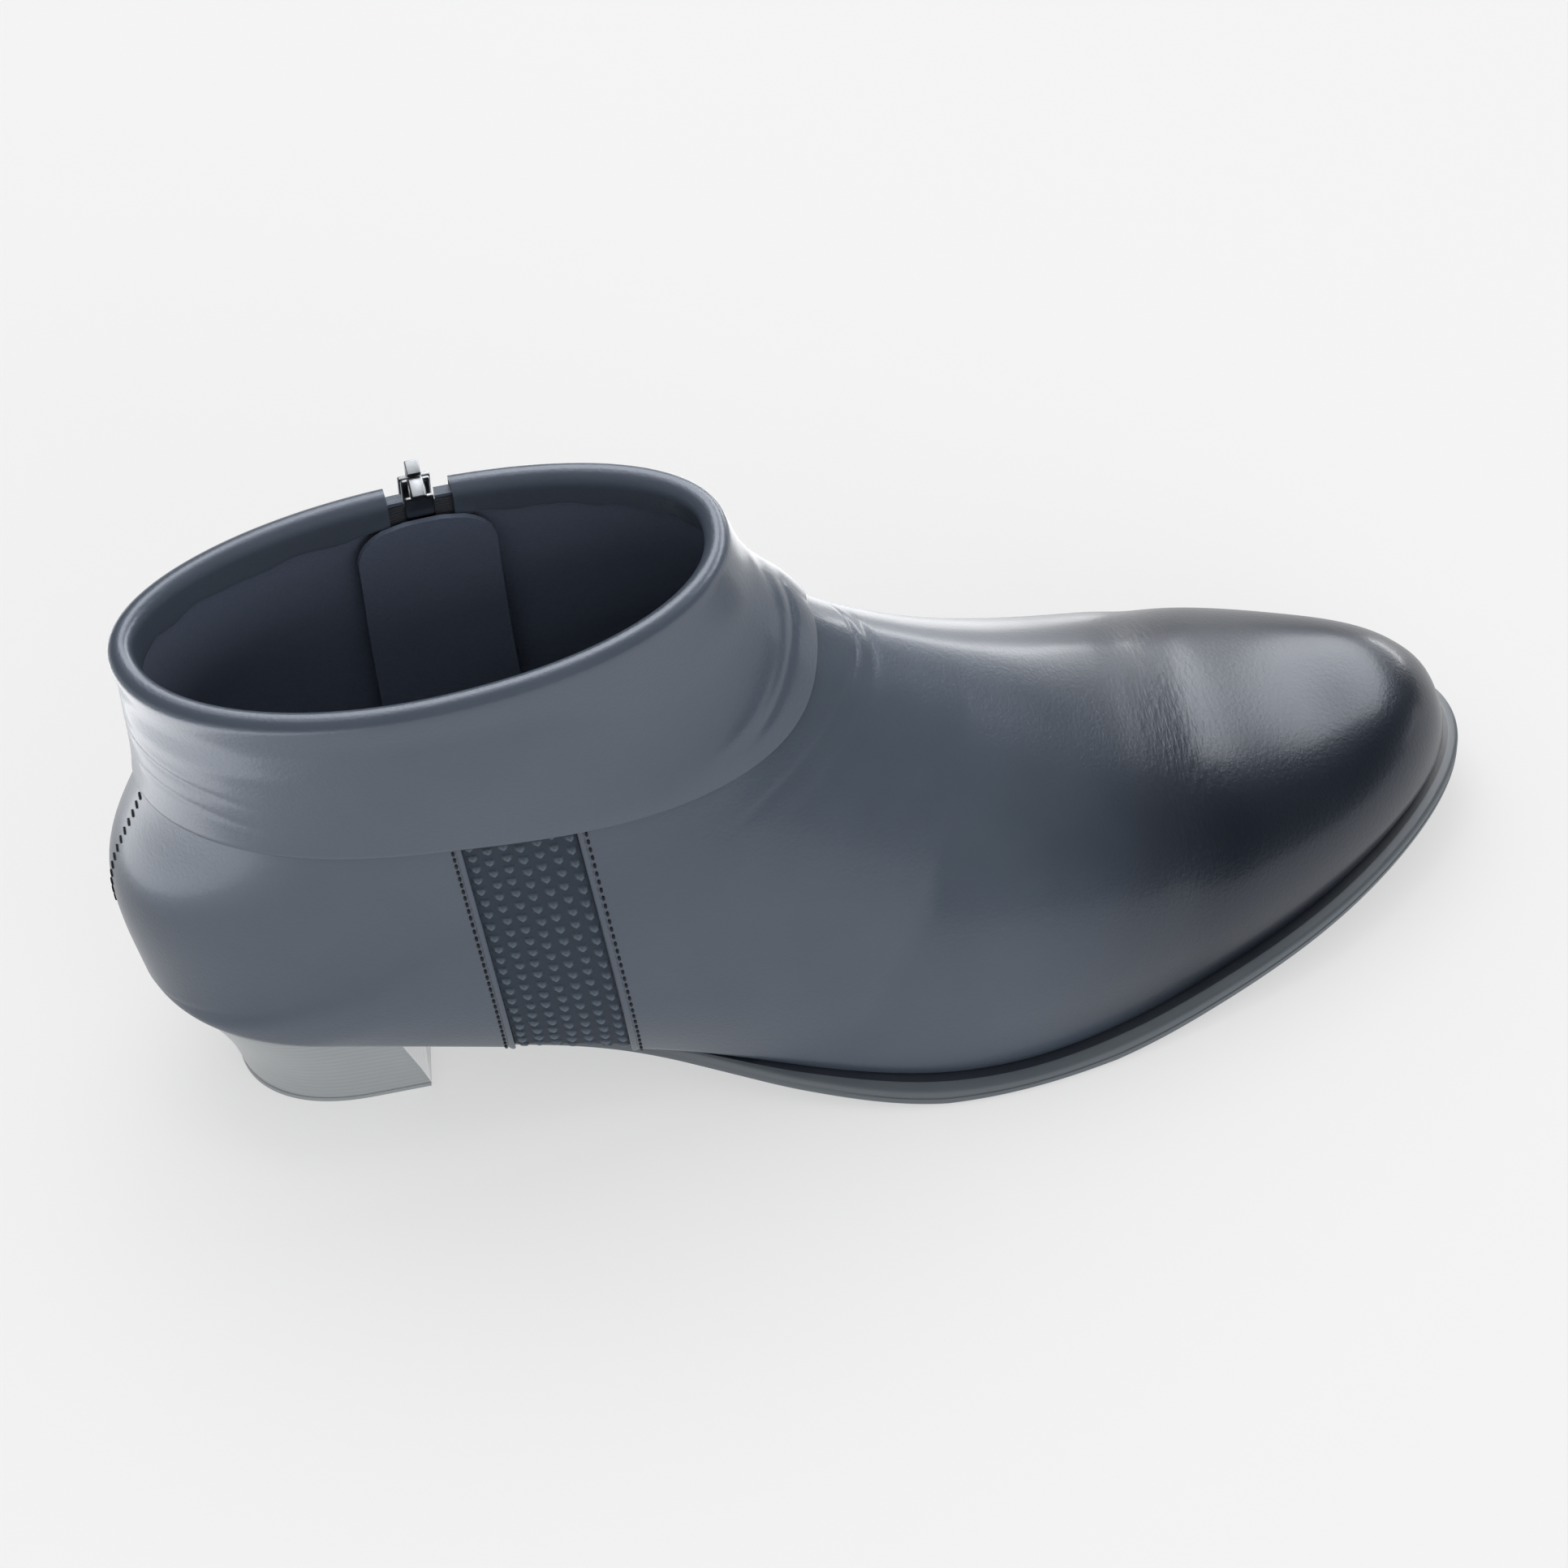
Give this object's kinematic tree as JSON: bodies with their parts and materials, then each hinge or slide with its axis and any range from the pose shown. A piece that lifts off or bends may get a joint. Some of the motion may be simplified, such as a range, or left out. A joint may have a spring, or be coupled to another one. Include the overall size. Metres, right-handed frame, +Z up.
{
  "type": "heeled ankle boot",
  "caption": "Dark navy leather ankle boot with a low block heel, a wide folded cuff at the collar, an elastic side gore and an inside zip.",
  "frame": {"origin": "on the floor, under the middle of the boot's box", "axes": "+X from heel to toe, +Y to the medial side with the zip, +Z up"},
  "size_m": [0.2654, 0.0908, 0.1211],
  "materials": {
    "upper_leather": "satin, fine pebble grain",
    "cuff_leather": "satin, soft, fine grain",
    "gore_elastic": "matt, woven with raised pips",
    "lining": "matt",
    "sole_rubber": "satin",
    "stacked_heel": "satin with fine level lines",
    "heel_rubber": "matt",
    "zip_tape": "matt, woven",
    "zip_coil": "satin",
    "zip_metal": "polished"
  },
  "bodies": {
    "boot": {"upper": "upper_leather", "cuff": "cuff_leather", "gore": "gore_elastic", "insole": "lining", "outsole": "sole_rubber", "heel": "stacked_heel", "heel_top_piece": "heel_rubber", "zip_tape": "zip_tape", "zip_chain": "zip_coil", "zip_guard": "lining", "zip_slider": "zip_metal"},
    "pull": {"zip_pull": "zip_metal"}
  },
  "joints": [
    {"name": "pull_swing", "type": "hinge", "parent": "boot", "child": "pull", "pos_m": [-0.06793, 0.02855, 0.11641], "axis": [0.9978, -0.0297, 0.0587], "range_deg": [0, 150]}
  ]
}
